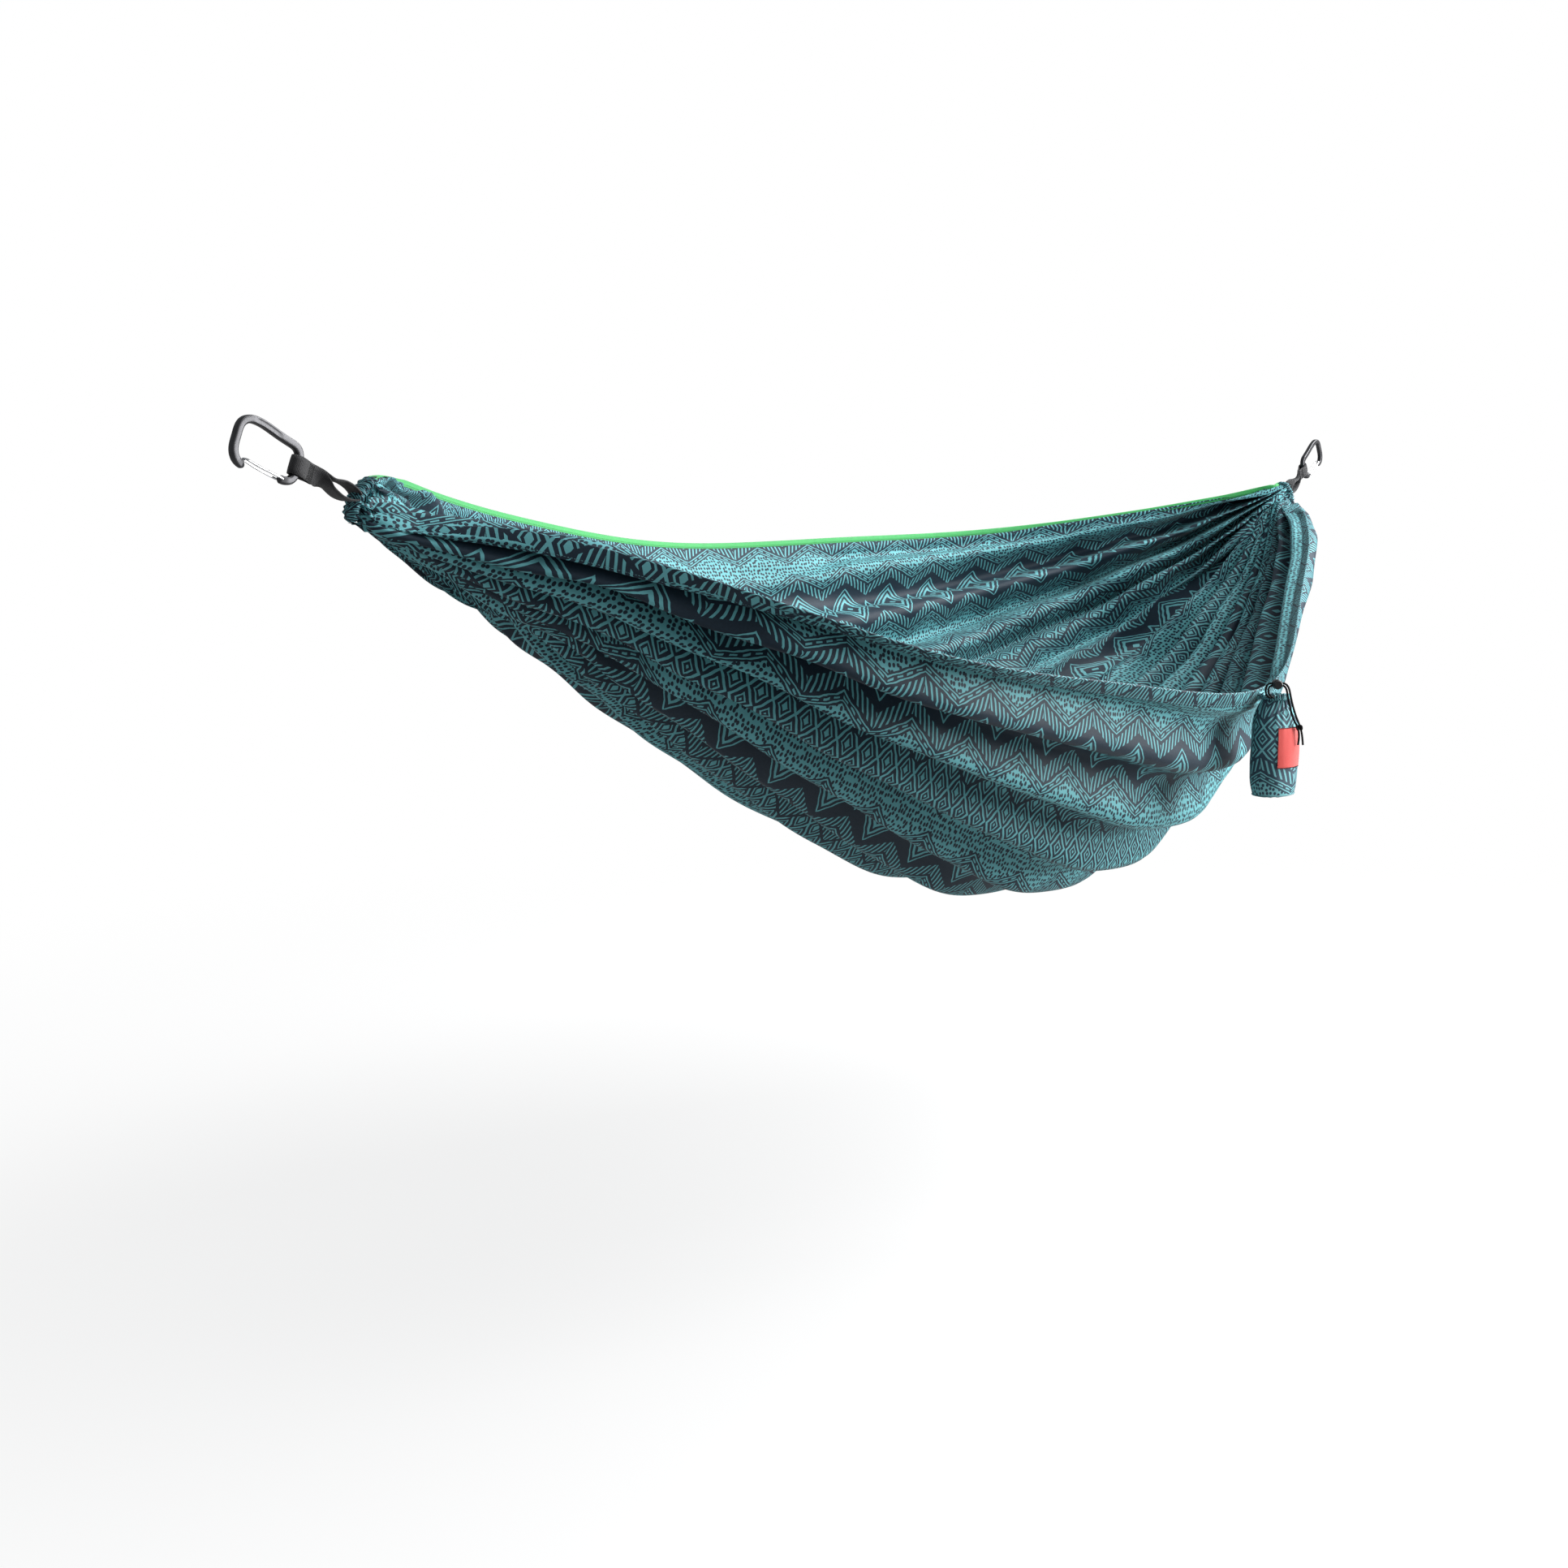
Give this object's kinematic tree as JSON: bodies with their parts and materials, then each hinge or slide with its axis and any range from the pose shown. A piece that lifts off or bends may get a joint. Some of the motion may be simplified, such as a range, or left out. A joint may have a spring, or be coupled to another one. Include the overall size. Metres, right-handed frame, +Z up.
{
  "type": "camping hammock",
  "caption": "Gathered-end fabric hammock with webbing loops and wire-gate carabiners at its ends and a drawstring stuff sack sewn to one hem.",
  "frame": {"origin": "inner flat land of the left carabiner's basket, where an anchor strap bears", "axes": "+X along the hammock from the left carabiner to the right one, -Y towards the hem that carries the stuff sack, +Z up"},
  "size_m": [2.7918, 1.0902, 0.7162],
  "materials": {
    "anodised_grey": "dark grey anodised, satin",
    "steel_wire": "bright drawn wire",
    "black_webbing": "ribbed black nylon webbing",
    "printed_cloth": "thin woven nylon with a banded geometric print in slate on aqua",
    "green_binding": "green woven binding tape",
    "red_label": "plain red woven patch",
    "black_cord": "black braided cord",
    "black_plastic": "black moulded plastic"
  },
  "bodies": {
    "left_carabiner": {"left_carabiner_body": "anodised_grey"},
    "left_gate": {"left_carabiner_gate": "steel_wire"},
    "hammock": {"left_webbing_loop": "black_webbing", "right_webbing_loop": "black_webbing", "left_end_channel": "printed_cloth", "right_end_channel": "printed_cloth", "hammock_cloth": "printed_cloth", "near_hem": "printed_cloth", "far_hem_binding": "green_binding", "sack_hang_tab": "black_webbing"},
    "right_carabiner": {"right_carabiner_body": "anodised_grey"},
    "right_gate": {"right_carabiner_gate": "steel_wire"},
    "stuff_sack": {"sack_body": "printed_cloth", "sack_base": "printed_cloth", "sack_mouth_channel": "printed_cloth", "sack_drawcord": "black_cord", "drawcord_tail_a": "black_cord", "drawcord_tail_b": "black_cord", "drawcord_knot": "black_cord", "sack_label": "red_label"},
    "cord_lock": {"cord_lock_barrel": "black_plastic", "cord_lock_spring": "steel_wire"},
    "lock_plunger": {"cord_lock_plunger": "black_plastic"}
  },
  "joints": [
    {"name": "hammock_swing", "type": "hinge", "parent": "left_carabiner", "child": "hammock", "pos_m": [0.0751, 0, -0.03034], "axis": [1, 0, 0.0053], "range_deg": [-35, 35], "deforming": ["left_webbing_loop"]},
    {"name": "right_carabiner_turn", "type": "hinge", "parent": "hammock", "child": "right_carabiner", "pos_m": [2.69277, 0, -0.01654], "axis": [1, 0, 0.0053], "range_deg": [-35, 35], "deforming": ["right_webbing_loop"]},
    {"name": "left_gate_open", "type": "hinge", "parent": "left_carabiner", "child": "left_gate", "pos_m": [0.0508, 0, -0.0435], "axis": [0, 1, 0], "range_deg": [0, 30], "stiffness_Nm_per_rad": 0.2, "springref_deg": -28.65},
    {"name": "right_gate_open", "type": "hinge", "parent": "right_carabiner", "child": "right_gate", "pos_m": [2.71866, 0, -0.02619], "axis": [0, -1, 0], "range_deg": [0, 30], "stiffness_Nm_per_rad": 0.2, "springref_deg": -28.65},
    {"name": "sack_swing", "type": "hinge", "parent": "hammock", "child": "stuff_sack", "pos_m": [1.448, -0.48792, -0.349], "axis": [1, 0, 0], "range_deg": [-60, 0]},
    {"name": "cord_lock_slide", "type": "slide", "parent": "stuff_sack", "child": "cord_lock", "axis": [0.5971, -0.8022, 0], "range_m": [0, 0.003]},
    {"name": "plunger_press", "type": "slide", "parent": "cord_lock", "child": "lock_plunger", "axis": [0.8022, 0.5971, 0], "range_m": [0, 0.0018], "stiffness_N_per_m": 400, "springref_m": -0.004, "deforming": ["cord_lock_spring"]}
  ],
  "couplings": [
    {"joint": "right_carabiner_turn", "follows": "hammock_swing", "ratio": -1}
  ]
}
